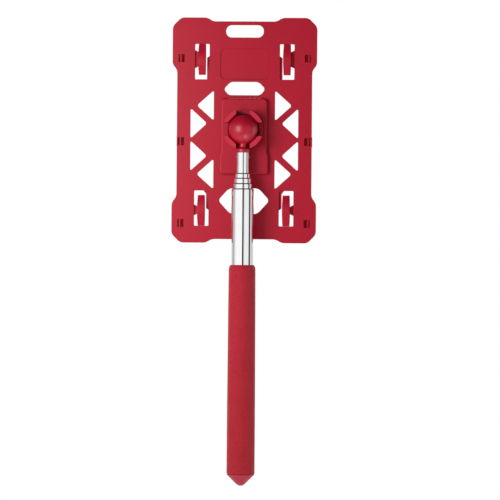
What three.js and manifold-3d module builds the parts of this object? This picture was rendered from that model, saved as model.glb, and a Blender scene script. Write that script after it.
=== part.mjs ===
// A hand-held sign paddle: a moulded lattice panel on a ball joint, at the end of a five-section telescoping pole
// with a soft grip. Millimetres, +Z up the pole. The origin is on the pole's axis, halfway along the grip. The pole
// stands in front of the panel's back face, on the -Y side, and a sign card clips to the panel's other face.
import * as THREE from "three";
import { mergeVertices } from "three/addons/utils/BufferGeometryUtils.js";
import Module from "manifold-3d";

const wasm = await Module();
wasm.setup();

// ---- Driving dimensions ----
const turnedSides = 36; // facets round every turned piece
const runningGap = 0.08; // radial play of a friction sleeve
const seatGap = 0.3; // play between moulded pieces

const ballRadius = 12.5;
const standOff = 16; // pole axis to the panel's back face

const gripLength = 177.4;
const gripTop = gripLength / 2;
const gripBottom = -gripLength / 2;
const gripTopRadius = 11.45;
const gripBottomRadius = 11.9;
const noseLength = 9.8; // the end cap's cone

const tubeWall = 0.5;
const mouthRoll = 3; // length over which a tube's mouth closes in on the next tube
const mainMouth = gripTop + 64.8;
const tubeTravel = 200; // how far each section pulls out
// From the thinnest section to the thickest: outside radius, top end, bottom end.
const sections = [
  { name: "tube_1", radius: 5.35, top: mainMouth + 30.4, bottom: -64.2 },
  { name: "tube_2", radius: 6.3, top: mainMouth + 13.1, bottom: -67.2 },
  { name: "tube_3", radius: 7.25, top: mainMouth + 9, bottom: -70.2 },
  { name: "tube_4", radius: 8.2, top: mainMouth + 4.5, bottom: -73.2 },
  { name: "main_tube", radius: 9.5, top: mainMouth, bottom: gripBottom + 0.3 },
];
const sleeveLength = 12;
const footHeight = 1; // flange under each friction sleeve

const poleTop = sections[0].top;
const ballCentre = poleTop + 19.8;
const neckRadius = 3.2;
const collarRadius = 5.7;
const pinRadius = 1.1;
const pinDrop = 3.6; // below the top of the thinnest tube

const panelCentre = ballCentre - 0.35;
const skin = 2.6;
const panelDepth = 6.6; // skin and rim together
const rimWall = 2;
const panelBack = standOff;
const skinFront = panelBack + skin;
const rimFront = panelBack + panelDepth;

// The shoe's heights are from the ball's centre.
const shoeTop = panelBack - 5; // the face that carries the socket
const shoeSole = panelBack - 0.1; // the face against the panel
const shoeBevel = 1.7;
const shoeUpper = [19.7, -35, 26.9]; // half width, lower end, upper end
const shoeLower = [20.7, -37.8, -20.9];
const pegRadius = 2.8;
const pegs = [[-12.5, -28], [12.5, -28], [-12.5, 20], [12.5, 20]];

const socketOuter = 17.1;
const ringOuter = 16.4;
const ringInner = 13.6;
const ringTop = 6.6;
const fingerTop = -4.2;
const fingerChord = 12.5; // from the ball's centre to each finger's flat inner face
const socketSlot = 11.7;
const socketCup = 12.95; // radius of the spherical hollow

const clipCentre = 36.2; // from the panel's middle to each spring clip
const clipWindowWidth = 12.4;
const clipThickness = 1.8;
const clipRise = 4; // how far a clip arches out of the panel
const clipTipGap = 3.8; // from a clip's free end to the end of its window

const hookInner = 50.7; // snap hook: reach of its lip
const hookOuter = 57.8;
const hookHeight = 8.2;
const hookWindowHeight = 6.8;
const hookHeel = 2.2; // chamfer in the corner under the lip
const cardSlot = 4.6; // room under the lips for a sign card
const lipThickness = 1.8;

// ---- Materials ----
const redPlastic = new THREE.MeshStandardMaterial({ color: 0xb02739, roughness: 0.45, metalness: 0 });
const glossRedPlastic = new THREE.MeshStandardMaterial({ color: 0xa5142a, roughness: 0.28, metalness: 0 });
const redFoam = new THREE.MeshStandardMaterial({ color: 0xa82837, roughness: 0.85, metalness: 0 });
const chrome = new THREE.MeshStandardMaterial({ color: 0xdedede, roughness: 0.08, metalness: 1 });
const steel = new THREE.MeshStandardMaterial({ color: 0xa8a8a6, roughness: 0.35, metalness: 1 });
const bronze = new THREE.MeshStandardMaterial({ color: 0xb08d4c, roughness: 0.4, metalness: 1 });
const nylon = new THREE.MeshStandardMaterial({ color: 0xd8d4c8, roughness: 0.6, metalness: 0 });

// ---- Shape helpers ----

// A closed three.js geometry as a manifold-3d solid.
function solidOf(geometry) {
  const bare = new THREE.BufferGeometry();
  bare.setAttribute("position", geometry.getAttribute("position"));
  if (geometry.index) bare.setIndex(geometry.index);
  const merged = mergeVertices(bare, 1e-4);
  return new wasm.Manifold(
    new wasm.Mesh({
      numProp: 3,
      vertProperties: new Float32Array(merged.attributes.position.array),
      triVerts: new Uint32Array(merged.index.array),
    }),
  );
}

function geometryOf(solid) {
  const mesh = solid.getMesh();
  const geometry = new THREE.BufferGeometry();
  geometry.setAttribute("position", new THREE.BufferAttribute(new Float32Array(mesh.vertProperties), 3));
  geometry.setIndex(new THREE.BufferAttribute(new Uint32Array(mesh.triVerts), 1));
  geometry.computeVertexNormals();
  return geometry;
}

function join(...solids) {
  return solids.reduce((whole, piece) => whole.add(piece));
}

function cut(solid, ...tools) {
  return tools.reduce((left, tool) => left.subtract(tool), solid);
}

function part(name, solid, material) {
  const mesh = new THREE.Mesh(geometryOf(solid), material);
  mesh.name = name;
  return mesh;
}

// A flat outline in (x, z), given thickness from y = from to y = to.
function slab(shape, from, to, curveSegments = 4) {
  const geometry = new THREE.ExtrudeGeometry(shape, { depth: to - from, bevelEnabled: false, curveSegments });
  geometry.rotateX(Math.PI / 2).translate(0, to, 0);
  return solidOf(geometry);
}

// A section in (x, y), drawn out from z = from to z = to.
function bar(shape, from, to, curveSegments = 4) {
  const geometry = new THREE.ExtrudeGeometry(shape, { depth: to - from, bevelEnabled: false, curveSegments });
  return solidOf(geometry.translate(0, 0, from));
}

// A profile of [radius, z] points, turned about the pole's axis.
function turned(profile) {
  const points = profile.map(([radius, z]) => new THREE.Vector2(radius, z));
  return solidOf(new THREE.LatheGeometry(points, turnedSides).rotateX(Math.PI / 2));
}

// A cylinder along X, Y or Z between two places on that axis.
function rod(axis, radius, from, to, sides = turnedSides) {
  const geometry = new THREE.CylinderGeometry(radius, radius, to - from, sides);
  geometry.translate(0, (from + to) / 2, 0);
  if (axis === "x") geometry.rotateZ(-Math.PI / 2);
  if (axis === "z") geometry.rotateX(Math.PI / 2);
  return solidOf(geometry);
}

function block(x, y, z) {
  const geometry = new THREE.BoxGeometry(x[1] - x[0], y[1] - y[0], z[1] - z[0]);
  return solidOf(geometry.translate((x[0] + x[1]) / 2, (y[0] + y[1]) / 2, (z[0] + z[1]) / 2));
}

// A polygon whose corners are rounded with curves of about the given radius.
function rounded(corners, radius) {
  const shape = new THREE.Shape();
  corners.forEach(([x, y], i) => {
    const here = new THREE.Vector2(x, y);
    const [before, after] = [corners.at(i - 1), corners[(i + 1) % corners.length]].map(([px, py]) =>
      new THREE.Vector2(px, py).sub(here),
    );
    const start = before.clone().setLength(Math.min(radius, before.length() / 2)).add(here);
    const end = after.clone().setLength(Math.min(radius, after.length() / 2)).add(here);
    if (i) shape.lineTo(start.x, start.y);
    else shape.moveTo(start.x, start.y);
    shape.quadraticCurveTo(x, y, end.x, end.y);
  });
  shape.closePath();
  return shape;
}

// A polygon with every side moved inwards; its corners run anticlockwise.
function inset(corners, distance) {
  const sides = corners.map((corner, i) => {
    const from = new THREE.Vector2(...corner);
    const along = new THREE.Vector2(...corners[(i + 1) % corners.length]).sub(from).normalize();
    return { from: from.add(new THREE.Vector2(-along.y, along.x).multiplyScalar(distance)), along };
  });
  return sides.map((side, i) => {
    const last = sides.at(i - 1);
    const reach = side.from.clone().sub(last.from).cross(side.along) / last.along.cross(side.along);
    const corner = last.from.clone().addScaledVector(last.along, reach);
    return [corner.x, corner.y];
  });
}

function rectangle(x0, x1, z0, z1) {
  return [[x0, z0], [x1, z0], [x1, z1], [x0, z1]];
}

function mirrored(corners) {
  return corners.map(([x, z]) => [-x, z]).reverse();
}

// ---- Panel ----

// The panel's right-hand edge from the bottom recess to the top one; the left-hand edge mirrors it.
const rightEdge = [
  [27.4, -92.8],
  [32.5, -96],
  [54.2, -96],
  [61.6, -88.6],
  [61.6, -61.9],
  [57.5, -56.8],
  [57.5, 51.3],
  [61.6, 55.9],
  [61.6, 88.6],
  [54.2, 96],
  [31.8, 96],
  [27.4, 92.8],
];
const panelCorners = [...rightEdge, ...mirrored(rightEdge)];

// Lattice openings beside the middle, right-hand side: each is a triangle from its upright side to its point.
const latticeHeight = 26;
const lattice = [
  { upright: 26.1, point: 40.6, centre: 21.1 },
  { upright: 46, point: 31.8, centre: 5.8 },
  { upright: 46, point: 31.8, centre: -21.9 },
  { upright: 26.1, point: 40.6, centre: -37.4 },
];

function latticeOpening({ upright, point, centre }) {
  const corners = [[upright, centre - latticeHeight / 2], [point, centre], [upright, centre + latticeHeight / 2]];
  return point > upright ? corners : corners.reverse();
}

const hangSlot = rectangle(-16.1, 16.1, 79.1, 89.7);
const upperHexagon = [[-13.6, 29.9], [13.6, 29.9], [17.8, 35.2], [12, 41.3], [-12, 41.3], [-17.8, 35.2]];
const lowerHexagon = [[-11.5, -71.3], [11.5, -71.3], [22, -59.8], [12.6, -49.4], [-12.6, -49.4], [-22, -59.8]];
const labelRecess = rectangle(-21, 21, 43, 69.9);
const labelDepth = 0.8;

// Spring clips: the root is the end that is part of the panel, and towards says which way the clip runs from it.
// The ledges stand beside the clip, at the panel's front: [from, to] measured from the root.
const clipRows = [
  { row: "upper", root: 73.5, length: 30.2, towards: -1, outerLedge: [5.2, 20.6], innerLedge: [10.2, 30.2] },
  { row: "lower", root: -81.6, length: 30.1, towards: 1, outerLedge: [8.9, 18.2], innerLedge: [13.5, 30.1] },
];
const outerLedgeReach = 3;
const innerLedgeReach = 2.2;
const ledgeThickness = 0.9;
const ledgeSlope = 1.5; // an outer ledge is this much shorter at its tip, at each end

function clipWindow({ root, length, towards }, side) {
  const across = [clipCentre - clipWindowWidth / 2, clipCentre + clipWindowWidth / 2].map((x) => side * x);
  const along = [root, root + towards * length];
  return [Math.min(...across), Math.max(...across), Math.min(...along), Math.max(...along)];
}

function ledges({ root, towards, outerLedge, innerLedge }, side) {
  const outer = side * (clipCentre + clipWindowWidth / 2);
  const inner = side * (clipCentre - clipWindowWidth / 2);
  const at = (distance) => root + towards * distance;
  const shapes = [
    [
      [outer + side, at(outerLedge[0])],
      [outer, at(outerLedge[0])],
      [outer - side * outerLedgeReach, at(outerLedge[0] + ledgeSlope)],
      [outer - side * outerLedgeReach, at(outerLedge[1] - ledgeSlope)],
      [outer, at(outerLedge[1])],
      [outer + side, at(outerLedge[1])],
    ],
    [
      [inner - side, at(innerLedge[0])],
      [inner, at(innerLedge[0])],
      [inner + side * innerLedgeReach, at(innerLedge[0] + ledgeSlope)],
      [inner + side * innerLedgeReach, at(innerLedge[1] + 1)],
      [inner - side, at(innerLedge[1] + 1)],
    ],
  ];
  const front = [skinFront - ledgeThickness, skinFront];
  return shapes.map((corners) => slab(new THREE.Shape(corners.map(([x, z]) => new THREE.Vector2(x, z))), ...front));
}

// Snap hooks along both long sides: height of each above the panel's centre, and its post's inner face.
const hookRows = [61.4, -9.6, -79.4];
const hookPost = 56.6;

function snapHook(centre, side) {
  const section = new THREE.Shape(
    [
      [hookPost, skinFront - 1],
      [hookOuter, skinFront - 1],
      [hookOuter, skinFront + cardSlot + lipThickness],
      [hookInner + 1.2, skinFront + cardSlot + lipThickness],
      [hookInner, skinFront + cardSlot + lipThickness / 2],
      [hookInner, skinFront + cardSlot],
      [hookPost - hookHeel, skinFront + cardSlot],
      [hookPost, skinFront + cardSlot - hookHeel],
    ].map(([x, y]) => new THREE.Vector2(side * x, y)),
  );
  return bar(section, centre - hookHeight / 2, centre + hookHeight / 2);
}

function hookWindow(centre, side) {
  const x = [side * hookInner, side * hookPost].sort((a, b) => a - b);
  const z = [centre - hookWindowHeight / 2, centre + hookWindowHeight / 2];
  return block(x, [panelBack - 1, skinFront + 0.5], z);
}

// A narrow bar left standing across the outer part of each window, level with the skin.
function windowBar(centre, side) {
  const x = [side * 53.9, side * 55.5].sort((a, b) => a - b);
  const z = [centre - hookWindowHeight / 2 - 0.5, centre + hookWindowHeight / 2 + 0.5];
  return block(x, [panelBack + 1, skinFront], z);
}

// The holes that take the shoe's pegs.
function pegHoles() {
  return pegs.map(([x, z]) =>
    rod("y", pegRadius + seatGap, panelBack - 1, skinFront + 1, 20).translate([x, 0, z + ballCentre - panelCentre]),
  );
}

function panel() {
  const through = [panelBack - 1, rimFront + 1];
  const plate = cut(
    slab(rounded(panelCorners, 2.2), panelBack, rimFront),
    slab(rounded(inset(panelCorners, rimWall), 1.6), skinFront, rimFront + 1),
  );
  const sides = [1, -1];
  const openings = [
    slab(rounded(hangSlot, 5.2), ...through),
    slab(rounded(upperHexagon, 2.4), ...through),
    slab(rounded(lowerHexagon, 3), ...through),
    slab(rounded(labelRecess, 4), panelBack - 1, panelBack + labelDepth),
    ...pegHoles(),
    ...lattice.flatMap((opening) => [
      slab(rounded(latticeOpening(opening), 2.2), ...through),
      slab(rounded(mirrored(latticeOpening(opening)), 2.2), ...through),
    ]),
    ...clipRows.flatMap((row) =>
      sides.map((side) => slab(rounded(rectangle(...clipWindow(row, side)), 0.8), ...through)),
    ),
  ];
  const pierced = cut(plate, ...openings);
  const ledged = join(pierced, ...clipRows.flatMap((row) => sides.flatMap((side) => ledges(row, side))));
  const hooks = hookRows.flatMap((centre) => sides.map((side) => snapHook(centre, side)));
  const windows = hookRows.flatMap((centre) => sides.map((side) => hookWindow(centre, side)));
  const bars = hookRows.flatMap((centre) => sides.map((side) => windowBar(centre, side)));
  return part("panel", join(cut(ledged, ...windows), ...hooks, ...bars), redPlastic);
}

// One arched spring clip, a leaf that is widest halfway along.
function springClip(row, side) {
  const length = row.length - clipTipGap;
  const at = (distance) => row.root + row.towards * distance;
  const arc = (rise, from, to) => {
    const points = [];
    const steps = 10;
    for (let i = 0; i <= steps; i++) {
      const t = i / steps;
      const lift = rise * Math.sin(Math.PI * t * 0.94) ** 1.15;
      points.push(new THREE.Vector2(at(seatGap + t * (length - seatGap)), -(from - lift + (to - from) * t)));
    }
    return points;
  };
  const outer = arc(clipRise, panelBack, panelBack + 0.9);
  const inner = arc(clipRise, panelBack + clipThickness, panelBack + 0.9 + clipThickness).reverse();
  const leaf = new THREE.ExtrudeGeometry(new THREE.Shape([...outer, ...inner]), { depth: 10, bevelEnabled: false });
  // The leaf's outline is drawn in (z, -y) and drawn out along x.
  leaf.applyMatrix4(new THREE.Matrix4().set(0, 0, 1, -5, 0, -1, 0, 0, 1, 0, 0, 0, 0, 0, 0, 1));
  const half = [3.05, 3.5, 3];
  const plan = new THREE.Shape();
  plan.moveTo(-half[0], at(0));
  plan.quadraticCurveTo(-half[1] - 0.35, at(length / 2), -half[2], at(length));
  plan.lineTo(half[2], at(length));
  plan.quadraticCurveTo(half[1] + 0.35, at(length / 2), half[0], at(0));
  plan.closePath();
  const solid = solidOf(leaf).intersect(slab(plan, 0, 40, 6));
  const clip = part(`clip_${row.row}_${side > 0 ? "right" : "left"}`, solid, redPlastic);
  clip.position.x = side * clipCentre;
  return clip;
}

// ---- Socket shoe and ball ----

// A block with bevelled edges round the face that carries the socket.
function plateau([half, from, to], radius) {
  const foot = slab(rounded(rectangle(-half, half, from, to), radius), shoeTop + shoeBevel, shoeSole);
  const top = rectangle(shoeBevel - half, half - shoeBevel, from + shoeBevel, to - shoeBevel);
  return wasm.Manifold.hull([foot, slab(rounded(top, radius), shoeTop, shoeTop + 0.1)]);
}

function socketShoe() {
  const base = join(
    plateau(shoeUpper, 3.4),
    plateau(shoeLower, 1),
    ...pegs.map(([x, z]) => rod("y", pegRadius, shoeSole - 1, skinFront - 0.1, 20).translate([x, 0, z])),
  );
  const ring = cut(rod("y", ringOuter, ringTop, shoeTop + 1), rod("y", ringInner, ringTop - 1, shoeTop - 0.8));
  const chord = block([-fingerChord, fingerChord], [fingerTop - 1, 2], [-fingerChord, fingerChord]);
  const fingers = cut(
    rod("y", socketOuter, fingerTop, shoeTop + 1),
    block([-socketSlot / 2, socketSlot / 2], [fingerTop - 1, shoeTop + 2], [-20, 20]),
    block([-20, 20], [fingerTop - 1, shoeTop + 2], [-socketSlot / 2, socketSlot / 2]),
    chord.rotate([0, 45, 0]),
  );
  const cup = solidOf(new THREE.SphereGeometry(socketCup, turnedSides, turnedSides / 2));
  return part("socket_shoe", cut(join(base, ring, fingers), cup), redPlastic);
}

function ballStud() {
  const tubeTop = -19.8; // the thinnest tube's top end, below the ball's centre
  const collarBottom = tubeTop + 0.2;
  const neckTop = -Math.sqrt(ballRadius ** 2 - neckRadius ** 2);
  const start = Math.asin(neckRadius / ballRadius);
  const steps = 15;
  const sphere = [];
  for (let i = 1; i <= steps; i++) {
    const angle = start + ((Math.PI - start) * i) / steps;
    sphere.push([i === steps ? 0 : ballRadius * Math.sin(angle), -ballRadius * Math.cos(angle)]);
  }
  const spigot = sections[0].radius - tubeWall - 0.1;
  const solid = turned([
    [0, tubeTop - 14],
    [spigot - 0.6, tubeTop - 14],
    [spigot, tubeTop - 13],
    [spigot, collarBottom],
    [collarRadius - 0.4, collarBottom],
    [collarRadius, collarBottom + 0.4],
    [collarRadius, collarBottom + 2.4],
    [collarRadius - 1, collarBottom + 3.6],
    [neckRadius, collarBottom + 4.2],
    [neckRadius, neckTop],
    ...sphere,
  ]);
  return part("ball_stud", cut(solid, pinHole(tubeTop)), glossRedPlastic);
}

function pinHole(tubeTop) {
  const hole = new THREE.CylinderGeometry(pinRadius + 0.15, pinRadius + 0.15, 20, 16);
  return solidOf(hole.rotateZ(Math.PI / 2).translate(0, 0, tubeTop - pinDrop));
}

// ---- Pole ----

// Radius at which a tube's mouth closes on the section inside it.
function mouthRadius(index) {
  return sections[index - 1].radius + 0.15;
}

function beadRadius(index) {
  const bore = sections[index + 1].radius - tubeWall;
  return (bore + mouthRadius(index + 1)) / 2;
}

function tube(index) {
  const { name, radius, top, bottom } = sections[index];
  const bore = radius - tubeWall;
  const profile = [];
  const hasMouth = index > 0;
  const slides = index < sections.length - 1;
  profile.push([bore, bottom]);
  if (slides) {
    const bead = beadRadius(index);
    const sleeveTop = bottom + footHeight + sleeveLength + 0.4;
    profile.push([bead, bottom], [bead, bottom + footHeight], [radius, bottom + footHeight]);
    profile.push([radius, sleeveTop], [bead, sleeveTop + 0.4], [bead, sleeveTop + 0.9], [radius, sleeveTop + 1.3]);
  } else {
    profile.push([radius, bottom]);
  }
  if (hasMouth) {
    const lip = mouthRadius(index);
    profile.push([radius, top - mouthRoll], [radius - 0.25, top - 1], [lip + tubeWall * 0.6, top]);
    profile.push([lip, top], [lip, top - 0.8], [bore, top - mouthRoll]);
  } else {
    profile.push([radius, top], [bore, top]);
  }
  profile.push([bore, bottom]);
  const solid = turned(profile);
  return part(name, index ? solid : cut(solid, pinHole(top)), chrome);
}

// A split friction sleeve round the foot of a section, running in the next tube.
function frictionSleeve(index) {
  const inner = sections[index].radius + runningGap;
  const outer = sections[index + 1].radius - tubeWall - runningGap;
  const half = THREE.MathUtils.degToRad(14);
  const ring = new THREE.Shape();
  ring.absarc(0, 0, outer, half, 2 * Math.PI - half, false);
  ring.absarc(0, 0, inner, 2 * Math.PI - half, half, true);
  ring.closePath();
  const foot = sections[index].bottom + footHeight + 0.2;
  return part(`friction_sleeve_${index + 1}`, bar(ring, foot, foot + sleeveLength, turnedSides), bronze);
}

function studPin() {
  const reach = sections[0].radius + 0.25;
  const pin = part("stud_pin", rod("x", pinRadius, -reach, reach, 16), steel);
  pin.position.z = poleTop - pinDrop;
  return pin;
}

// ---- Handle ----

function grip() {
  const bore = sections.at(-1).radius + 0.1;
  return part(
    "foam_grip",
    turned([
      [bore, gripBottom + 0.3],
      [gripBottomRadius - 0.3, gripBottom + 0.3],
      [gripBottomRadius, gripBottom + 1],
      [gripBottomRadius - 0.05, gripBottom + 60],
      [gripTopRadius + 0.05, gripTop - 30],
      [gripTopRadius - 0.1, gripTop - 4],
      [gripTopRadius - 0.35, gripTop - 2],
      [gripTopRadius - 1.5, gripTop],
      [bore, gripTop],
      [bore, gripBottom + 0.3],
    ]),
    redFoam,
  );
}

function endCap() {
  const spigot = sections.at(-1).radius - tubeWall - 0.1;
  const nose = gripBottom - noseLength;
  return part(
    "end_cap",
    turned([
      [0, nose],
      [1.8, nose + 0.35],
      [3.6, nose + 1.5],
      [gripBottomRadius - 1.2, gripBottom - 1.3],
      [gripBottomRadius - 0.15, gripBottom - 0.2],
      [gripBottomRadius - 0.3, gripBottom],
      [spigot, gripBottom],
      [spigot, gripBottom + 8.5],
      [spigot - 0.7, gripBottom + 9.3],
      [0, gripBottom + 9.3],
    ]),
    redFoam,
  );
}

function tubeStopper() {
  const radius = sections.at(-1).radius - tubeWall - 0.1;
  const bottom = gripBottom + 9.6;
  return part(
    "tube_stopper",
    turned([
      [2, bottom],
      [radius - 0.4, bottom],
      [radius, bottom + 0.5],
      [radius, bottom + 5.2],
      [radius - 0.5, bottom + 5.8],
      [2, bottom + 5.8],
      [2, bottom],
    ]),
    nylon,
  );
}

// ---- Assembly ----

const handle = new THREE.Group();
handle.add(grip(), endCap(), tubeStopper(), tube(4));

const pole = new THREE.Group();
for (const index of [3, 2, 1, 0]) pole.add(frictionSleeve(index), tube(index));
pole.add(studPin());

const joint = new THREE.Group();
joint.position.z = ballCentre;
joint.add(ballStud(), socketShoe());

const head = new THREE.Group();
head.position.z = panelCentre;
head.add(panel());
for (const row of clipRows) head.add(springClip(row, -1), springClip(row, 1));

const paddle = new THREE.Group();
paddle.add(handle, pole, joint, head);

export default paddle;
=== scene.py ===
import math

import bmesh
import bpy
from mathutils import Matrix, Vector


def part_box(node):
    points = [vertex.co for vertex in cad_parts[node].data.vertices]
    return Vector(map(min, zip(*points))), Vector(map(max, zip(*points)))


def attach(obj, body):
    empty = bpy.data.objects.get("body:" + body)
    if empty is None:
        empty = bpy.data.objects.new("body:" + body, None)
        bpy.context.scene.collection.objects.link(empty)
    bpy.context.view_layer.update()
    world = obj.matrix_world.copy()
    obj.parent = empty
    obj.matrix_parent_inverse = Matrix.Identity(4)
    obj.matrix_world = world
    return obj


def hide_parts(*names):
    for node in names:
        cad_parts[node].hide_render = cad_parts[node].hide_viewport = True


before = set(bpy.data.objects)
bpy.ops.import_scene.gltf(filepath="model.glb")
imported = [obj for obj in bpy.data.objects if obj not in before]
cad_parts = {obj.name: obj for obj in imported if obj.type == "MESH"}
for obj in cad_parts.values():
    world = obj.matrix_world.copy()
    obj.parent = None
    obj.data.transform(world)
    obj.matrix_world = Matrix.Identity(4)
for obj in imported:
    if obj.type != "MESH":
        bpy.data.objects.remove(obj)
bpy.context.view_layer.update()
scene = bpy.context.scene
millimetre = 0.001

# Places every piece is built from, in millimetres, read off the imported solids.
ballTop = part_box("ball_stud")[1].z / millimetre
panelLow, panelHigh = [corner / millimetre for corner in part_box("panel")]
ballCentre = ballTop - 12.5
panelCentre = (panelLow.z + panelHigh.z) / 2
panelBack = panelLow.y
skinFront = panelBack + 2.6

# Two places nearer than this, in millimetres, are level.
levelWithin = 0.01


# A socket that takes part in sums; numbers alone never reach here.
class Value:
    def __init__(self, finish, socket):
        self.finish = finish
        self.socket = socket

    def maths(self, operation, first, second):
        return self.finish.node("ShaderNodeMath", {"operation": operation}, {0: first, 1: second})

    def __add__(self, other):
        return self.maths("ADD", self, other)

    def __sub__(self, other):
        return self.maths("SUBTRACT", self, other)

    def __rsub__(self, other):
        return self.maths("SUBTRACT", other, self)

    def __mul__(self, other):
        return self.maths("MULTIPLY", self, other)

    def __truediv__(self, other):
        return self.maths("DIVIDE", self, other)

    __radd__ = __add__
    __rmul__ = __mul__


# A node tree being built: one method makes every node.
class Finish:
    def __init__(self, owner):
        owner.use_nodes = True
        self.owner = owner
        self.tree = owner.node_tree
        self.tree.nodes.clear()

    def node(self, kind, settings=None, inputs=None, output=0):
        made = self.tree.nodes.new(kind)
        for key, setting in (settings or {}).items():
            if key == "stops":
                ramp = made.color_ramp
                while len(ramp.elements) < len(setting):
                    ramp.elements.new(1)
                for element, (position, colour) in zip(ramp.elements, setting):
                    element.position = position
                    element.color = colour if len(colour) == 4 else (*colour, 1)
            else:
                setattr(made, key, setting)
        for key, value in (inputs or {}).items():
            usable = [s for s in made.inputs if s.enabled]
            socket = usable[key] if isinstance(key, int) else next(s for s in usable if s.name == key)
            if isinstance(value, Value):
                self.tree.links.new(value.socket, socket)
            else:
                socket.default_value = value
        outputs = [s for s in made.outputs if s.enabled]
        return Value(self, outputs[output]) if outputs else None


def linear(code):
    channels = [int(code[i:i + 2], 16) / 255 for i in (0, 2, 4)]
    return tuple(c / 12.92 if c <= 0.04045 else ((c + 0.055) / 1.055) ** 2.4 for c in channels)


def paint(code):
    return (*linear(code), 1)


def place(finish):
    return finish.node("ShaderNodeTexCoord", output=3)


def noise(finish, position, scale, detail=2.0, roughness=0.5):
    inputs = {"Vector": position, "Scale": scale, "Detail": detail, "Roughness": roughness}
    return finish.node("ShaderNodeTexNoise", {"noise_dimensions": "3D"}, inputs)


def mixed(finish, factor, first, second):
    inputs = {"Factor": factor, "A": first, "B": second}
    return finish.node("ShaderNodeMix", {"data_type": "RGBA", "clamp_factor": True}, inputs)


def bumped(finish, height, distance, strength=1.0):
    return finish.node("ShaderNodeBump", inputs={"Height": height, "Distance": distance, "Strength": strength})


def surface(finish, constants, links):
    shader = finish.node("ShaderNodeBsdfPrincipled", inputs={**constants, **links})
    finish.node("ShaderNodeOutputMaterial", inputs={"Surface": shader})
    return finish.owner


def newFinish(name):
    return Finish(bpy.data.materials.new(name))


plasticIndex = 1.5
mouldedLook = {
    "light": "a80b28", "deep": "9f0923", "roughness": 0.4, "roughnessSpread": 0.12, "specular": 0.2,
    "cloudScale": 38, "grainScale": 2600, "wearScale": 240, "grainShare": 0.7, "wearShare": 0.5, "grain": 0.00002,
}
# Painted highlight: a paler colour for the socket's finger tops, standing in for the light they catch nearer the key
# lamp and clear of the ball's shade.
litTipsPaint = {"paintedLight": "b12138", "paintedLightBefore": -0.00408, "paintedLightFade": 0.0004, "paintedLightShare": 0.9}


# When a look carries a painted-light colour, faces forward of its depth are painted paler: a painted highlight on
# the socket's finger tops, standing in for the light they catch nearer the key lamp and clear of the ball's shade.
def mouldedPlastic(name, look):
    finish = newFinish(name)
    where = place(finish)
    cloud = noise(finish, where, look["cloudScale"], 3)
    grain = noise(finish, where, look["grainScale"], 2, 0.6)
    wear = noise(finish, where, look["wearScale"], 4, 0.65)
    colour = mixed(finish, cloud, paint(look["light"]), paint(look["deep"]))
    # Painted highlight: faces forward of the given depth are mixed towards the paler colour.
    if "paintedLight" in look:
        depth = finish.node("ShaderNodeSeparateXYZ", inputs={0: where}, output=1)
        front = look["paintedLightBefore"]
        limits = {"Value": depth, "From Min": front + look["paintedLightFade"], "From Max": front}
        paintedLit = finish.node("ShaderNodeMapRange", {"clamp": True}, limits)
        colour = mixed(finish, paintedLit * look["paintedLightShare"], colour, paint(look["paintedLight"]))
    height = grain * look["grainShare"] + wear * look["wearShare"]
    links = {
        "Base Color": colour,
        "Roughness": wear * look["roughnessSpread"] + (look["roughness"] - look["roughnessSpread"] / 2),
        "Normal": bumped(finish, height, look["grain"]),
    }
    return surface(finish, {"IOR": plasticIndex, "Specular IOR Level": look["specular"]}, links)


ballLook = {
    "light": "a00826", "deep": "960622", "roughness": 0.35, "roughnessDrop": 0.05, "specular": 0.36,
    "cloudScale": 70, "scuffScale": 900, "scuffShare": 0.12, "scuffDepth": 0.000006,
}


def polishedPlastic(name, look):
    finish = newFinish(name)
    where = place(finish)
    cloud = noise(finish, where, look["cloudScale"], 2)
    scuff = noise(finish, where, look["scuffScale"], 4, 0.7)
    links = {
        "Base Color": mixed(finish, cloud, paint(look["light"]), paint(look["deep"])),
        "Roughness": scuff * look["scuffShare"] + (look["roughness"] - look["roughnessDrop"]),
        "Normal": bumped(finish, scuff, look["scuffDepth"]),
    }
    return surface(finish, {"IOR": plasticIndex, "Specular IOR Level": look["specular"]}, links)


foamLook = {
    "light": "b2202f", "deep": "9c1626", "pore": "800e1b", "cell": 1500, "grainScale": 1100, "cloudScale": 60,
    "poreBelow": 0.34, "bodyAbove": 0.5, "roughness": 0.76, "roughnessSpread": 0.1, "cellShare": 0.5,
    "depth": 0.00012, "strength": 0.8, "specular": 0.25, "sheen": 0.08, "sheenRoughness": 0.5,
}


def foam(name, look):
    finish = newFinish(name)
    where = place(finish)
    cells = finish.node(
        "ShaderNodeTexVoronoi", {"feature": "F1"}, {"Vector": where, "Scale": look["cell"], "Randomness": 1.0}
    )
    grain = noise(finish, where, look["grainScale"], 4, 0.7)
    cloud = noise(finish, where, look["cloudScale"], 3, 0.6)
    limits = {"Value": grain, "From Min": look["poreBelow"], "From Max": look["bodyAbove"]}
    pores = finish.node("ShaderNodeMapRange", {"clamp": True}, limits)
    body = mixed(finish, cloud, paint(look["light"]), paint(look["deep"]))
    links = {
        "Base Color": mixed(finish, pores, paint(look["pore"]), body),
        "Roughness": cloud * look["roughnessSpread"] + look["roughness"],
        "Normal": bumped(finish, cells * look["cellShare"] + grain, look["depth"], look["strength"]),
    }
    constants = {
        "Specular IOR Level": look["specular"], "Sheen Weight": look["sheen"],
        "Sheen Roughness": look["sheenRoughness"],
    }
    return surface(finish, constants, links)


chromeLook = {
    "light": "f1f1f1", "deep": "e6e6e7", "roughness": 0.05, "roughnessDrop": 0.04,
    "drawnScale": 3000, "drawnSquash": 0.02, "drawnShare": 0.05, "drawnDepth": 0.0000016,
    "hazeScale": 90, "hazeShare": 0.03,
}


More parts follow.
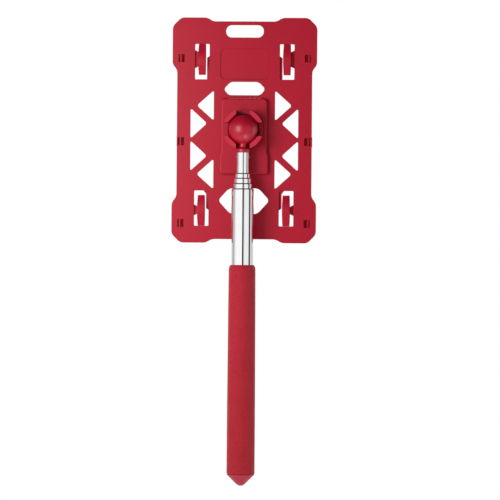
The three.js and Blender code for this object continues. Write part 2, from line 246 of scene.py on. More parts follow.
def brightPlate(name, look):
    finish = newFinish(name)
    where = place(finish)
    stretch = finish.node("ShaderNodeMapping", inputs={"Vector": where, "Scale": (1, 1, look["drawnSquash"])})
    drawn = noise(finish, stretch, look["drawnScale"], 3, 0.6)
    haze = noise(finish, where, look["hazeScale"], 3, 0.6)
    spread = drawn * look["drawnShare"] + haze * look["hazeShare"]
    links = {
        "Base Color": mixed(finish, haze, paint(look["light"]), paint(look["deep"])),
        "Roughness": spread + (look["roughness"] - look["roughnessDrop"]),
        "Normal": bumped(finish, drawn, look["drawnDepth"]),
    }
    return surface(finish, {"Metallic": 1.0}, links)


metalLook = {"cloudScale": 300, "roughnessSpread": 0.2, "depth": 0.00001}


def plainMetal(name, look):
    finish = newFinish(name)
    cloud = noise(finish, place(finish), look["cloudScale"], 4, 0.6)
    links = {
        "Base Color": mixed(finish, cloud, paint(look["light"]), paint(look["deep"])),
        "Roughness": cloud * look["roughnessSpread"] + (look["roughness"] - look["roughnessSpread"] / 2),
        "Normal": bumped(finish, cloud, look["depth"]),
    }
    return surface(finish, {"Metallic": 1.0}, links)


redPlastic = mouldedPlastic("mouldedRed", mouldedLook)
# The socket shoe's finish carries the painted highlight on its finger tops.
shoePlastic = mouldedPlastic("shoeRed", {**mouldedLook, **litTipsPaint})
ballPlastic = polishedPlastic("polishedRed", ballLook)
capLook = {**mouldedLook, "light": "b0303f", "deep": "a02636", "roughness": 0.55, "grain": 0.00003}
capPlastic = mouldedPlastic("capRed", capLook)
gripFoam = foam("gripFoam", foamLook)
chrome = brightPlate("brightChrome", chromeLook)
pinSteel = plainMetal("pinSteel", {**metalLook, "light": "b8b8b6", "deep": "8f8f8d", "roughness": 0.3})
sleeveBronze = plainMetal("sleeveBronze", {**metalLook, "light": "b8924c", "deep": "94713a", "roughness": 0.42})
nylon = mouldedPlastic("nylon", {**mouldedLook, "light": "dcd8cc", "deep": "cfcabc", "roughness": 0.55})
print("materials made")


def asObject(shape, name="scratch"):
    mesh = bpy.data.meshes.new(name)
    shape.to_mesh(mesh)
    shape.free()
    thing = bpy.data.objects.new(name, mesh)
    scene.collection.objects.link(thing)
    return thing


def discard(thing):
    mesh = thing.data
    bpy.data.objects.remove(thing)
    bpy.data.meshes.remove(mesh)


def evaluated(thing):
    bpy.context.view_layer.update()
    shape = bmesh.new()
    shape.from_object(thing, bpy.context.evaluated_depsgraph_get())
    return shape


def merged(shapes):
    whole = bmesh.new()
    for shape in shapes:
        mesh = bpy.data.meshes.new("scratch")
        shape.to_mesh(mesh)
        shape.free()
        whole.from_mesh(mesh)
        bpy.data.meshes.remove(mesh)
    return whole


def carved(shape, tools, operation="DIFFERENCE"):
    blank, tool = asObject(shape), asObject(merged(tools))
    cut = blank.modifiers.new("cut", "BOOLEAN")
    cut.object, cut.operation, cut.solver = tool, operation, "EXACT"
    result = evaluated(blank)
    discard(blank)
    discard(tool)
    return result


# An outline in (x, z) with rounded corners, given thickness along y. A list of radii goes round with the corners.
def slab(corners, radius, near, far, steps=6):
    shape = bmesh.new()
    corner = [shape.verts.new((x, near, z)) for x, z in corners]
    shape.faces.new(corner)
    radii = radius if isinstance(radius, list) else [radius] * len(corner)
    for size in sorted(set(radii) - {0}):
        chosen = [vert for vert, own in zip(corner, radii) if own == size]
        bmesh.ops.bevel(
            shape, geom=chosen, offset=size, segments=steps, profile=0.5, affect="VERTICES", material=-1
        )
    return drawnOut(shape, (0, far - near, 0))


def drawnOut(shape, move):
    made = bmesh.ops.extrude_face_region(shape, geom=shape.faces[:])["geom"]
    bmesh.ops.translate(shape, verts=[v for v in made if isinstance(v, bmesh.types.BMVert)], vec=move)
    bmesh.ops.recalc_face_normals(shape, faces=shape.faces[:])
    return shape


# A section in (x, y), drawn out along z.
def beam(corners, low, high):
    shape = bmesh.new()
    shape.faces.new([shape.verts.new((x, y, low)) for x, y in corners])
    return drawnOut(shape, (0, 0, high - low))


# A profile of (radius, height) points, spun about the pole's axis.
def spun(profile, steps=96, closed=False):
    shape = bmesh.new()
    points = [shape.verts.new((radius, 0, height)) for radius, height in profile]
    for first, second in zip(points, points[1:]):
        shape.edges.new((first, second))
    if closed:
        shape.edges.new((points[-1], points[0]))
    bmesh.ops.spin(
        shape, geom=shape.verts[:] + shape.edges[:], cent=(0, 0, 0), axis=(0, 0, 1), dvec=(0, 0, 0),
        angle=2 * math.pi, steps=steps, use_merge=True, use_duplicate=False,
    )
    bmesh.ops.remove_doubles(shape, verts=shape.verts[:], dist=0.0005)
    bmesh.ops.recalc_face_normals(shape, faces=shape.faces[:])
    return shape


# A cylinder along y, centred on the ball's height.
def disc(radius, near, far, sides=96):
    shape = bmesh.new()
    away = Matrix.Translation((0, (near + far) / 2, ballCentre)) @ Matrix.Rotation(-math.pi / 2, 4, "X")
    bmesh.ops.create_cone(
        shape, cap_ends=True, segments=sides, radius1=radius, radius2=radius, depth=far - near, matrix=away
    )
    return shape


def rectangle(x0, x1, z0, z1):
    return [(x0, z0), (x1, z0), (x1, z1), (x0, z1)]


def mirrored(corners):
    return [(-x, z) for x, z in reversed(corners)]


def lifted(corners, height):
    return [(x, z + height) for x, z in corners]


# Every side moved inwards; corners run anticlockwise.
def inset(corners, distance):
    sides = []
    for here, there in zip(corners, corners[1:] + corners[:1]):
        along = (Vector(there) - Vector(here)).normalized()
        sides.append((Vector(here) + Vector((-along.y, along.x)) * distance, along))
    result = []
    for (lastFrom, lastAlong), (fromHere, along) in zip(sides[-1:] + sides[:-1], sides):
        gap = fromHere - lastFrom
        reach = (gap.x * along.y - gap.y * along.x) / (lastAlong.x * along.y - lastAlong.y * along.x)
        result.append(tuple(lastFrom + lastAlong * reach))
    return result


# Scales a finished shape to metres and hands it to its body.
def piece(shape, name, body, material, node, edge=0.3, angle=32, segments=3):
    bmesh.ops.scale(shape, verts=shape.verts[:], vec=(millimetre,) * 3)
    thing = asObject(shape, name)
    thing.data.materials.clear()
    thing.data.materials.append(material)
    thing.data.polygons.foreach_set("material_index", [0] * len(thing.data.polygons))
    thing.data.polygons.foreach_set("use_smooth", [True] * len(thing.data.polygons))
    if edge:
        soft = thing.modifiers.new("edges", "BEVEL")
        soft.width, soft.segments, soft.limit_method = edge * millimetre, segments, "ANGLE"
        soft.angle_limit = math.radians(angle)
        soft.use_clamp_overlap = True
        soft.harden_normals = False
    even = thing.modifiers.new("shading", "WEIGHTED_NORMAL")
    even.keep_sharp = False
    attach(thing, body)
    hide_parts(node)
    return thing


panelShape = {
    "edge": [
        (27.4, -92.8), (32.5, -96), (54.2, -96), (61.6, -88.6), (61.6, -61.9), (57.5, -56.8),
        (57.5, 51.3), (61.6, 55.9), (61.6, 88.6), (54.2, 96), (31.8, 96), (27.4, 92.8),
    ],
    "cornerRound": 2.6,
    "rimWall": 2.0,
    "rimFront": panelBack + 6.6,
    "sideRoll": 5.4,
    "padFrom": 61.5,
    "plainShare": 0.3,
    "edgeRound": 0.3,
    "rounds": {
        "tray": 1.6, "hangSlot": 5.0, "upperHexagon": 2.4, "lowerHexagon": 3, "lattice": 2.2, "label": 4,
    },
    "label": rectangle(-21, 21, 43, 69.9),
    "labelDepth": 0.8,
    "labelDraft": 0.5,
    "hangSlot": rectangle(-16.1, 16.1, 79.1, 89.7),
    "upperHexagon": [(-13.6, 29.9), (13.6, 29.9), (17.8, 35.2), (12, 41.3), (-12, 41.3), (-17.8, 35.2)],
    "lowerHexagon": [(-11.5, -71.3), (11.5, -71.3), (22, -59.8), (12.6, -49.4), (-12.6, -49.4), (-22, -59.8)],
    "latticeHeight": 26,
    "lattice": [(26.1, 40.6, 21.1), (46, 31.8, 5.8), (46, 31.8, -21.9), (26.1, 40.6, -37.4)],
}
hookShape = {
    "rows": [61.4, -9.6, -79.4],
    "height": 8.2,
    "window": 6.8,
    "reach": 50.7,
    "post": 56.6,
    "outside": 57.8,
    "slot": 4.6,
    "lip": 1.8,
    "lipSlope": 1.2,
    "heel": 2.2,
    "heelSet": (0.5, 0.6),
    "windowRound": 0.4,
    "tipCover": 0.5,
    "bar": (54.1, 55.2),
    "barBack": 1,
}
clipShape = {
    "centre": 36.2,
    "window": 12.4,
    "tipGap": 3.8,
    "rise": 4.0,
    "thickness": 1.8,
    "rows": {
        "upper": {
            "root": 73.5, "length": 30.2, "towards": -1, "outer": (5.2, 20.6), "inner": (10.2, 30.2), "corner": 0,
        },
        "lower": {
            "root": -81.6, "length": 30.1, "towards": 1, "outer": (8.9, 18.2), "inner": (13.5, 30.1), "corner": 2.8,
        },
    },
    "outerReach": 3.0,
    "innerReach": 2.2,
    "ledgeThickness": 0.9,
    "ledgeSlope": 1.5,
    "cornerRun": 0.9,
    "cornerDrop": 0.4,
    "windowRound": 0.8,
    "halfWidth": 3.05,
    "swell": 0.42,
    "taper": 0.05,
    "archShare": 0.94,
    "archPower": 1.15,
    "tipSink": 0.9,
    "rootGap": 0.05,
    "edgeRound": 0.5,
}


def latticeOpening(upright, point, centre):
    half = panelShape["latticeHeight"] / 2
    corners = [(upright, centre - half), (point, centre), (upright, centre + half)]
    return corners if point > upright else corners[::-1]


# The solid outside form: its back edges are rolled widely along the corner pads and slightly elsewhere.
def panelBlank():
    corners = panelShape["edge"] + mirrored(panelShape["edge"])
    shape = slab(lifted(corners, panelCentre), panelShape["cornerRound"], panelBack, panelShape["rimFront"])
    weight = shape.edges.layers.float.new("bevel_weight_edge")
    for edge in shape.edges:
        ends = [v.co for v in edge.verts]
        if all(abs(end.y - panelBack) < levelWithin for end in ends):
            onPad = all(abs(end.x) > panelShape["padFrom"] for end in ends)
            edge[weight] = 1.0 if onPad else panelShape["plainShare"]
    blank = asObject(shape)
    roll = blank.modifiers.new("roll", "BEVEL")
    roll.width, roll.segments, roll.limit_method = panelShape["sideRoll"], 6, "WEIGHT"
    rolled = evaluated(blank)
    discard(blank)
    return rolled


def clipWindow(row, side):
    half = clipShape["window"] / 2
    across = sorted((side * (clipShape["centre"] - half), side * (clipShape["centre"] + half)))
    along = sorted((row["root"], row["root"] + row["towards"] * row["length"]))
    return rectangle(*across, *along)


def ledges(row, side):
    half = clipShape["window"] / 2
    reach, shallow, corner = clipShape["outerReach"], clipShape["innerReach"], row["corner"]
    slope, run = clipShape["ledgeSlope"], corner * clipShape["cornerRun"]
    past = clipShape["cornerDrop"] if corner else 1
    outer, inner = side * (clipShape["centre"] + half), side * (clipShape["centre"] - half)

    def at(distance):
        return row["root"] + row["towards"] * distance + panelCentre

    shapes = [
        [
            (outer + side, at(row["outer"][0])), (outer, at(row["outer"][0])),
            (outer - side * reach, at(row["outer"][0] + slope)), (outer - side * reach, at(row["outer"][1] - slope)),
            (outer, at(row["outer"][1])), (outer + side, at(row["outer"][1])),
        ],
        [
            (inner - side, at(row["inner"][0])), (inner, at(row["inner"][0])),
            (inner + side * shallow, at(row["inner"][0] + slope)),
            (inner + side * shallow, at(row["inner"][1] - corner)),
            (inner + side * (shallow + run), at(row["inner"][1] + past)),
            (inner - side, at(row["inner"][1] + past)),
        ],
    ]
    return [slab(shape, 0, skinFront - clipShape["ledgeThickness"], skinFront) for shape in shapes]


def snapHook(centre, side):
    hook = hookShape
    top = skinFront + hook["slot"]
    corners = [
        (hook["post"], skinFront - 1), (hook["outside"], skinFront - 1), (hook["outside"], top + hook["lip"]),
        (hook["reach"] + hook["lipSlope"], top + hook["lip"]), (hook["reach"], top + hook["lip"] / 2),
        (hook["reach"], top), (hook["post"] - hook["heel"], top),
        (hook["post"] - hook["heelSet"][0], top - hook["heel"] + hook["heelSet"][1]),
    ]
    low = centre + panelCentre - hook["height"] / 2
    return beam([(side * x, y) for x, y in corners], low, low + hook["height"])


# The window stops short of the hook's tip, which covers its inner edge.
def hookWindow(centre, side):
    hook = hookShape
    half = hook["window"] / 2
    across = sorted((side * (hook["reach"] + hook["tipCover"]), side * hook["post"]))
    corners = rectangle(*across, centre + panelCentre - half, centre + panelCentre + half)
    return slab(corners, hook["windowRound"], panelBack - 1, skinFront + 0.5, 2)


# A narrow bar left standing across the outer part of each window, level with the skin.
def windowBar(centre, side):
    half = hookShape["window"] / 2 + 0.5
    across = sorted((side * edge for edge in hookShape["bar"]))
    corners = rectangle(*across, centre + panelCentre - half, centre + panelCentre + half)
    return slab(corners, 0, panelBack + hookShape["barBack"], skinFront)


# A shallow blank recess for a label, its walls drawn in towards its floor.
def labelCutter():
    label, draft = lifted(panelShape["label"], panelCentre), panelShape["labelDraft"]
    floorDepth = panelBack + panelShape["labelDepth"]
    cutter = slab(label, panelShape["rounds"]["label"], panelBack - 1, floorDepth, 8)
    halfWidth = max(x for x, z in label)
    middle = (min(z for x, z in label) + max(z for x, z in label)) / 2
    for vert in cutter.verts:
        if vert.co.y > panelBack:
            vert.co.x *= 1 - draft / halfWidth
            vert.co.z += draft * (1 if vert.co.z < middle else -1)
    return cutter


def buildPanel():
    through, rounds = (panelBack - 1, panelShape["rimFront"] + 1), panelShape["rounds"]
    outline = lifted(panelShape["edge"] + mirrored(panelShape["edge"]), panelCentre)
    tray = slab(inset(outline, panelShape["rimWall"]), rounds["tray"], skinFront, panelShape["rimFront"] + 1)
    shape = carved(panelBlank(), [tray])
    holes = [
        slab(lifted(panelShape["hangSlot"], panelCentre), rounds["hangSlot"], *through, 10),
        slab(lifted(panelShape["upperHexagon"], panelCentre), rounds["upperHexagon"], *through),
        slab(lifted(panelShape["lowerHexagon"], panelCentre), rounds["lowerHexagon"], *through),
        labelCutter(),
    ]
    for opening in panelShape["lattice"]:
        corners = latticeOpening(*opening)
        for shaped in (corners, mirrored(corners)):
            holes.append(slab(lifted(shaped, panelCentre), rounds["lattice"], *through))
    rows = clipShape["rows"].values()
    for row in rows:
        for side in (-1, 1):
            window = lifted(clipWindow(row, side), panelCentre)
            holes.append(slab(window, clipShape["windowRound"], *through, 3))
    shape = carved(shape, holes)
    for row in rows:
        for side in (-1, 1):
            shape = carved(shape, ledges(row, side), "UNION")
    hooks = [(centre, side) for centre in hookShape["rows"] for side in (-1, 1)]
    shape = carved(shape, [hookWindow(*hook) for hook in hooks])
    shape = carved(shape, [snapHook(*hook) for hook in hooks], "UNION")
    shape = carved(shape, [windowBar(*hook) for hook in hooks], "UNION")
    return piece(shape, "latticePanel", "head", redPlastic, "panel", panelShape["edgeRound"])


buildPanel()
print("panel made")


# An arched leaf that starts just clear of its window's end, where its body bends.
def buildClip(name, row, side):
    clip = clipShape
    length = row["length"] - clip["tipGap"]
    shape = bmesh.new()
    bmesh.ops.create_grid(shape, x_segments=8, y_segments=36, size=0.5)
    for vert in shape.verts:
        across, along = 2 * vert.co.x, vert.co.y + 0.5
        half = clip["halfWidth"] + clip["swell"] * math.sin(math.pi * along) - clip["taper"] * along
        rise = clip["rise"] * math.sin(math.pi * along * clip["archShare"]) ** clip["archPower"]
        reached = clip["rootGap"] + along * (length - clip["rootGap"])
        vert.co = Vector((
            side * clip["centre"] + across * half,
            panelBack + clip["tipSink"] * along - rise,
            panelCentre + row["root"] + row["towards"] * reached,
        ))
    made = bmesh.ops.extrude_face_region(shape, geom=shape.faces[:])["geom"]
    far = [v for v in made if isinstance(v, bmesh.types.BMVert)]
    bmesh.ops.translate(shape, verts=far, vec=(0, clip["thickness"], 0))
    bmesh.ops.recalc_face_normals(shape, faces=shape.faces[:])
    return piece(shape, name.replace("clip_", "springClip_"), name, redPlastic, name, clip["edgeRound"], 40)


for rowName, row in clipShape["rows"].items():
    for sideName, side in (("left", -1), ("right", 1)):
        buildClip(f"clip_{rowName}_{sideName}", row, side)
print("clips made")


shoeShape = {
    "top": panelBack - 5,
    "sole": panelBack - 0.1,
    "bevel": 1.5,
    "corners": [
        (-20.7, -37.8), (20.7, -37.8), (20.7, -21.4), (19.7, -20.4), (19.7, 26.9), (-19.7, 26.9), (-19.7, -20.4),
        (-20.7, -21.4),
    ],
    "rounds": [1.9, 1.9, 0, 0, 3.6, 3.6, 0, 0],
    "pegRadius": 2.8,
    "pegs": [(-12.5, -28), (12.5, -28), (-12.5, 20), (12.5, 20)],
    "ringOutside": 16.4,
    "ringInside": 13.6,
    "ringTop": 6.6,
    "fingerOutside": 17.1,
    "fingerTop": -4.2,
    "fingerChord": 12.3,
    "leadIn": 1.1,
    "leadDepth": 1.6,
    "slotWidth": 11.7,
    "cup": 12.9,
    "fingerSteps": 20,
    "fingerRoot": 0.9,
    "ringRoot": 1.3,
    "pegRoot": 1,
    "pegShort": 0.1,
}


# One finger of the socket, between the upper slot and the right-hand one.
def finger(turn):
    shoe = shoeShape
    side, radius, chord = shoe["slotWidth"] / 2, shoe["fingerOutside"], shoe["fingerChord"] * math.sqrt(2)
    start = math.asin(side / radius)
    corners = [(side, chord - side), (chord - side, side)]
    steps = shoe["fingerSteps"]
    for i in range(steps + 1):
        angle = start + (math.pi / 2 - 2 * start) * i / steps
        corners.append((radius * math.cos(angle), radius * math.sin(angle)))
    shape = slab(corners, 0, shoe["fingerTop"], shoe["top"] + shoe["fingerRoot"])
    lead = [v for v in shape.verts if v.co.y < 0 and v.co.x + v.co.z < chord + levelWithin]
    inner = [e for e in shape.edges if all(v in lead for v in e.verts)]
    cut = bmesh.ops.bevel(
        shape, geom=inner, offset=shoe["leadIn"], segments=1, profile=0.5, affect="EDGES", material=-1
    )
    deep = [v for v in cut["verts"] if v.co.y > shoe["fingerTop"] + 0.1]
    bmesh.ops.translate(shape, verts=deep, vec=(0, shoe["leadDepth"] - shoe["leadIn"], 0))
    turned = Matrix.Translation((0, 0, ballCentre)) @ Matrix.Rotation(turn, 4, "Y")
    bmesh.ops.transform(shape, matrix=turned, verts=shape.verts[:])
    return shape


def buildShoe():
    shoe = shoeShape
    top = shoe["top"]
    shape = slab(lifted(shoe["corners"], ballCentre), shoe["rounds"], top, shoe["sole"], 8)
    rim = [e for e in shape.edges if all(abs(v.co.y - top) < levelWithin for v in e.verts)]
    bmesh.ops.bevel(shape, geom=rim, offset=shoe["bevel"], segments=4, profile=0.5, affect="EDGES", material=-1)
    ring = disc(shoe["ringOutside"], shoe["ringTop"], top + shoe["ringRoot"])
    ring = carved(ring, [disc(shoe["ringInside"], 0, top + 2)])
    shape = carved(shape, [ring], "UNION")
    shape = carved(shape, [finger(math.radians(turn)) for turn in (0, 90, 180, 270)], "UNION")
    cup = bmesh.new()
    bmesh.ops.create_uvsphere(
        cup, u_segments=96, v_segments=48, radius=shoe["cup"], matrix=Matrix.Translation((0, 0, ballCentre))
    )
    shape = carved(shape, [cup])
    pegs = []
    for x, z in shoe["pegs"]:
        peg = disc(shoe["pegRadius"], shoe["sole"] - shoe["pegRoot"], skinFront - shoe["pegShort"], sides=48)
        bmesh.ops.translate(peg, verts=peg.verts[:], vec=(x, 0, z))
        pegs.append(peg)
    shape = carved(shape, pegs, "UNION")
    return piece(shape, "socketShoe", "head", shoePlastic, "socket_shoe", 0.3, 32)


buildShoe()
print("shoe made")


# Each profile below lists (radius, height) past the place it is measured from.
poleShape = {
    "wall": 0.5,
    "plugGap": 0.1,
    "mouthRoll": 3,
    "mouth": [(0, -3), (-0.02, -1.05), (-0.09, -0.9), (-0.52, -0.16), (-0.64, -0.04)],
    "mouthGap": 0.15,
    "lipRound": 0.1,
    "lipLength": 0.9,
    "flange": 1,
    "bead": (13.4, 13.8, 14.3, 14.7),
    "radius": {"tube_1": 5.35, "tube_2": 6.3, "tube_3": 7.25, "tube_4": 8.2, "main_tube": 9.5},
}
studShape = {
    "ball": 12.5,
    "neck": 3.2,
    "collar": 5.7,
    "seat": 0.2,
    "spigotEnd": 14,
    "spigotShoulder": 13,
    "spigotChamfer": 0.6,
    "collarProfile": [(-0.3, 0), (0, 0.3), (0, 2.4), (-0.35, 2.9), (-1.1, 3.4)],
    "neckProfile": [(0.5, 3.9), (0.1, 4.4), (0, 5)],
    "ballJoin": [(0, -0.5), (0.2, -0.05)],
    "ballSteps": 48,
    "pin": 1.1,
    "pinEnd": [(0, 0), (0.55, 0.04), (1, 0.3)],
}


def buildStud():
    stud = studShape
    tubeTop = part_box("tube_1")[1].z / millimetre
    low, end = tubeTop + stud["seat"], tubeTop - stud["spigotEnd"]
    spigot = poleShape["radius"]["tube_1"] - poleShape["wall"] - poleShape["plugGap"]
    start = math.asin(stud["neck"] / stud["ball"])
    join = ballCentre - stud["ball"] * math.cos(start)
    profile = [(0, end), (spigot - stud["spigotChamfer"], end), (spigot, tubeTop - stud["spigotShoulder"])]
    profile.append((spigot, low))
    profile += [(stud["collar"] + out, low + up) for out, up in stud["collarProfile"]]
    profile += [(stud["neck"] + out, low + up) for out, up in stud["neckProfile"]]
    profile += [(stud["neck"] + out, join + up) for out, up in stud["ballJoin"]]
    steps = stud["ballSteps"]
    for i in range(1, steps + 1):
        angle = start + (math.pi - start) * i / steps
        radius = stud["ball"] * math.sin(angle) if i < steps else 0
        profile.append((radius, ballCentre - stud["ball"] * math.cos(angle)))
    return piece(spun(profile), "ballStud", "section_1", ballPlastic, "ball_stud", 0.12, 50)


# A drawn tube: swaged foot, plain length, and a mouth rolled in towards the next tube.
def buildTube(name, body, inner=None, last=False):
    pole = poleShape
    low, high = [corner.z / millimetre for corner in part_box(name)]
    radius = pole["radius"][name]
    bore = radius - pole["wall"]
    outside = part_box(name)[1].x / millimetre
    profile = [(bore, low)]
    if last:
        profile.append((radius, low))
    else:
        profile += [(outside, low), (outside, low + pole["flange"]), (radius, low + pole["flange"])]
        profile += [(wide, low + up) for wide, up in zip((radius, outside, outside, radius), pole["bead"])]
    if inner:
        lip = inner + pole["mouthGap"]
        profile += [(radius + out, high + up) for out, up in pole["mouth"]]
        profile += [(lip + pole["lipRound"], high), (lip, high - pole["lipRound"])]
        profile += [(lip, high - pole["lipLength"]), (bore, high - pole["mouthRoll"])]
    else:
        profile += [(radius, high), (bore, high)]
    shape = spun(profile, 96, True)
    return piece(shape, name.replace("_", "") + "Drawn", body, chrome, name, 0.06, 40, 2)


def buildPin():
    low, high = [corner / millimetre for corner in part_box("stud_pin")]
    radius, reach = studShape["pin"], high.x
    profile = [(radius * share, -reach + up) for share, up in studShape["pinEnd"]]
    profile += [(r, -z) for r, z in reversed(profile)]
    shape = spun(profile, 32)
    turn = Matrix.Translation((0, 0, (low.z + high.z) / 2)) @ Matrix.Rotation(math.pi / 2, 4, "Y")
    bmesh.ops.transform(shape, matrix=turn, verts=shape.verts[:])
    return piece(shape, "studPin", "section_1", pinSteel, "stud_pin", 0)


stud = buildStud()
buildPin()
radii = poleShape["radius"]
tubes = [
    buildTube("tube_1", "section_1"),
    buildTube("tube_2", "section_2", radii["tube_1"]),
    buildTube("tube_3", "section_3", radii["tube_2"]),
    buildTube("tube_4", "section_4", radii["tube_3"]),
    buildTube("main_tube", "handle", radii["tube_4"], True),
]
print("pole made")


gripShape = {
    "top": 88.7,
    "bottom": -88.7,
    "bore": 9.6,
    "topRadius": 11.45,
    "bottomRadius": 11.9,
    "lowerEnd": [(-0.3, 0.3), (0, 1), (-0.05, 60)],
    "upperEnd": [(0.05, -30), (-0.1, -4), (-0.35, -2), (-1.5, -0.1), (-1.7, 0)],
}


def buildGrip():
    grip = gripShape
    top, low, small, large = grip["top"], grip["bottom"], grip["topRadius"], grip["bottomRadius"]
    profile = [(grip["bore"], low + grip["lowerEnd"][0][1])]
    profile += [(large + out, low + up) for out, up in grip["lowerEnd"]]
    profile += [(small + out, top + up) for out, up in grip["upperEnd"]]
    profile.append((grip["bore"], top))
    return piece(spun(profile, 128, True), "foamGrip", "handle", gripFoam, "foam_grip", 0.25, 25)


capShape = {
    "nose": 9.8,
    "tip": [(0, 0), (1.2, 0.12), (2.3, 0.6), (3.6, 1.5)],
    "skirt": [(-1.3, -1.4), (-0.5, -0.55), (-0.15, -0.1), (-0.3, 0)],
    "plug": [(0, 0), (0, 8.5), (-0.7, 9.3)],
}


def buildCap():
    low, large = gripShape["bottom"], gripShape["bottomRadius"]
    nose = low - capShape["nose"]
    spigot = poleShape["radius"]["main_tube"] - poleShape["wall"] - poleShape["plugGap"]
    profile = [(radius, nose + up) for radius, up in capShape["tip"]]
    profile += [(large + out, low + up) for out, up in capShape["skirt"]]
    profile += [(spigot + out, low + up) for out, up in capShape["plug"]]
    profile.append((0, low + capShape["plug"][-1][1]))
    return piece(spun(profile, 128), "endCap", "handle", capPlastic, "end_cap", 0.3, 25)


buildGrip()
buildCap()
print("grip made")

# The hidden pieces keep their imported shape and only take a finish.
hiddenFinishes = {
    "friction_sleeve_1": sleeveBronze, "friction_sleeve_2": sleeveBronze, "friction_sleeve_3": sleeveBronze,
    "friction_sleeve_4": sleeveBronze, "tube_stopper": nylon,
}
for node, material in hiddenFinishes.items():
    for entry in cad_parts[node].material_slots:
        entry.material = material
print("hidden pieces finished")


studio = {
    "distance": 3.0,
    "field": 0.4238,
    "sensor": 36,
    "azimuth": 3.0,
    "roll": 0.45,
    "aimX": 0.0066,
    "aimZ": ballCentre * millimetre - 0.1023,
    "lampAim": 0.12,
    "floorRadius": 0.85,
    "floorDrop": 0.12,
    "floorShades": (0.94, 0.91),
    "ambient": 1.13,
    "band": [
        (-135, 0.9), (-118, 0.5), (-92, 0.45), (-76, 0.85), (-60, 1), (-1, 1), (2, 0.02), (14, 0.02), (18, 0.75),
        (34, 0.92), (68, 0.85), (75, 0.06), (90, 0.06), (96, 0.75), (112, 0.75), (118, 0.45), (130, 0.55),
        (150, 0.9),
    ],
    "rise": [(0.0, 0.09), (0.28, 0.12), (0.4, 1.0), (0.6, 1.0), (0.72, 0.12), (1.0, 0.09)],
}


def buildCamera():
    data = bpy.data.cameras.new("camera")
    data.sensor_width = studio["sensor"]
    data.lens = studio["sensor"] * studio["distance"] / studio["field"]
    data.clip_start, data.clip_end = 0.05, 50
    camera = bpy.data.objects.new("camera", data)
    scene.collection.objects.link(camera)
    turn = math.radians(studio["azimuth"])
    back = Vector((math.sin(turn), -math.cos(turn), 0))
    target = Vector((studio["aimX"] * math.cos(turn), 0, studio["aimZ"]))
    facing = (-back).to_track_quat("-Z", "Y").to_matrix().to_4x4()
    roll = Matrix.Rotation(math.radians(studio["roll"]), 4, "Z")
    camera.matrix_world = Matrix.Translation(target + back * studio["distance"]) @ facing @ roll
    scene.camera = camera


# Direction is degrees round from the pole's side (towards +X), then degrees up.
def softbox(name, setting):
    data = bpy.data.lights.new(name, "AREA")
    data.shape, data.size, data.size_y = "RECTANGLE", *setting["size"]
    data.energy = setting["power"]
    lamp = bpy.data.objects.new(name, data)
    scene.collection.objects.link(lamp)
    turn, rise = (math.radians(angle) for angle in setting["direction"])
    back = Vector((math.sin(turn) * math.cos(rise), -math.cos(turn) * math.cos(rise), math.sin(rise)))
    spot = Matrix.Translation(Vector((0, 0, studio["lampAim"])) + back * setting["distance"])
    lamp.matrix_world = spot @ back.to_track_quat("Z", "Y").to_matrix().to_4x4()
    return lamp


# Keeps one lamp off some pieces, or on them alone: the key's glare would drown the lines round the tubes' mouths,
# and the ball's lower glint has a lamp of its own.
def reach(lamp, pieces, state):
    linked = bpy.data.collections.new(lamp.name + "Reach")
    for thing in pieces:
        linked.objects.link(thing)
    for entry in linked.collection_objects:
        entry.light_linking.link_state = state
    lamp.light_linking.receiver_collection = linked


def buildFloor():
    shape = bmesh.new()
    bmesh.ops.create_circle(shape, cap_ends=True, segments=96, radius=studio["floorRadius"])
    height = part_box("end_cap")[0].z - studio["floorDrop"]
    bmesh.ops.translate(shape, verts=shape.verts[:], vec=(0, 0, height))
    floor = asObject(shape, "floor")
    finish = newFinish("paleFloor")
    cloud = noise(finish, place(finish), 3, 2)
    light, deep = studio["floorShades"]
    colour = mixed(finish, cloud, (light, light, light, 1), (deep, deep, deep, 1))
    floor.data.materials.append(surface(finish, {"Roughness": 0.9}, {"Base Color": colour}))
    return floor


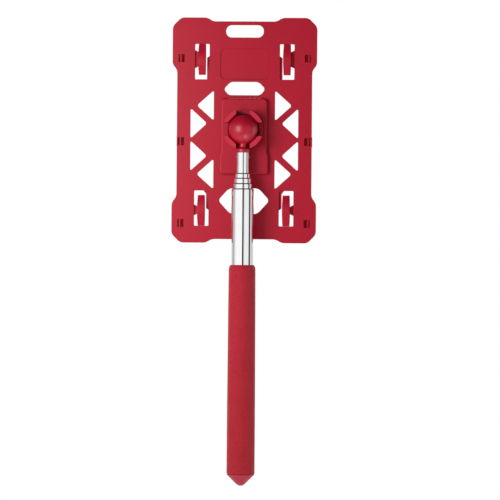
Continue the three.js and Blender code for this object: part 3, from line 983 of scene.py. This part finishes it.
# A white band round the horizon, with the narrow dark gaps between a studio's panels; greyer above and below.
def buildWorld():
    world = bpy.data.worlds.new("studio")
    scene.world = world
    finish = Finish(world)
    direction = finish.node("ShaderNodeTexCoord", output=0)
    parts = finish.node("ShaderNodeSeparateXYZ", inputs={0: direction})
    y, z = (Value(finish, parts.socket.node.outputs[i]) for i in (1, 2))
    around = finish.node("ShaderNodeMath", {"operation": "ARCTAN2"}, {0: parts, 1: 0 - y})

    def level(degrees, white):
        return (degrees / 360 + 0.5, (white,) * 3)

    band = finish.node(
        "ShaderNodeValToRGB", {"stops": [level(*stop) for stop in studio["band"]]}, {0: around / (2 * math.pi) + 0.5}
    )
    height = finish.node(
        "ShaderNodeValToRGB", {"stops": [(at, (white,) * 3) for at, white in studio["rise"]]}, {0: z * 0.5 + 0.5}
    )
    multiply = {"data_type": "RGBA", "blend_type": "MULTIPLY"}
    light = finish.node("ShaderNodeMix", multiply, {"Factor": 1.0, "A": band, "B": height})
    lit = finish.node("ShaderNodeBackground", inputs={"Color": light, "Strength": studio["ambient"]})
    backdrop = finish.node("ShaderNodeBackground", inputs={"Color": (1, 1, 1, 1), "Strength": 1.0})
    seen = finish.node("ShaderNodeLightPath", output=0)
    both = finish.node("ShaderNodeMixShader", inputs={0: seen, 1: lit, 2: backdrop})
    finish.node("ShaderNodeOutputWorld", inputs={"Surface": both})


buildCamera()
floor = buildFloor()
buildWorld()
lamps = {
    "keyPanel": {"direction": (-34, 12), "distance": 0.4, "size": (0.18, 0.26), "power": 1.36},
    "sidePanel": {"direction": (99, -10), "distance": 1.1, "size": (0.5, 0.9), "power": 2.8},
    "lowPanel": {"direction": (34, -50), "distance": 0.36, "size": (0.04, 0.04), "power": 0.45},
    "backPanel": {"direction": (165, 38), "distance": 1.1, "size": (0.7, 0.7), "power": 9},
    "rearPanel": {"direction": (-150, 12), "distance": 1.1, "size": (0.5, 0.8), "power": 4},
    "floorPanel": {"direction": (0, 88), "distance": 1.4, "size": (1.2, 1.2), "power": 13},
}
lampReach = {
    "keyPanel": (tubes, "EXCLUDE"),
    "sidePanel": (tubes, "EXCLUDE"),
    "lowPanel": ([stud], "INCLUDE"),
    "backPanel": ([stud], "EXCLUDE"),
    "rearPanel": (tubes, "EXCLUDE"),
    "floorPanel": ([floor], "INCLUDE"),
}
for name, setting in lamps.items():
    reach(softbox(name, setting), *lampReach[name])
scene.view_settings.view_transform = "Standard"
print("studio made")
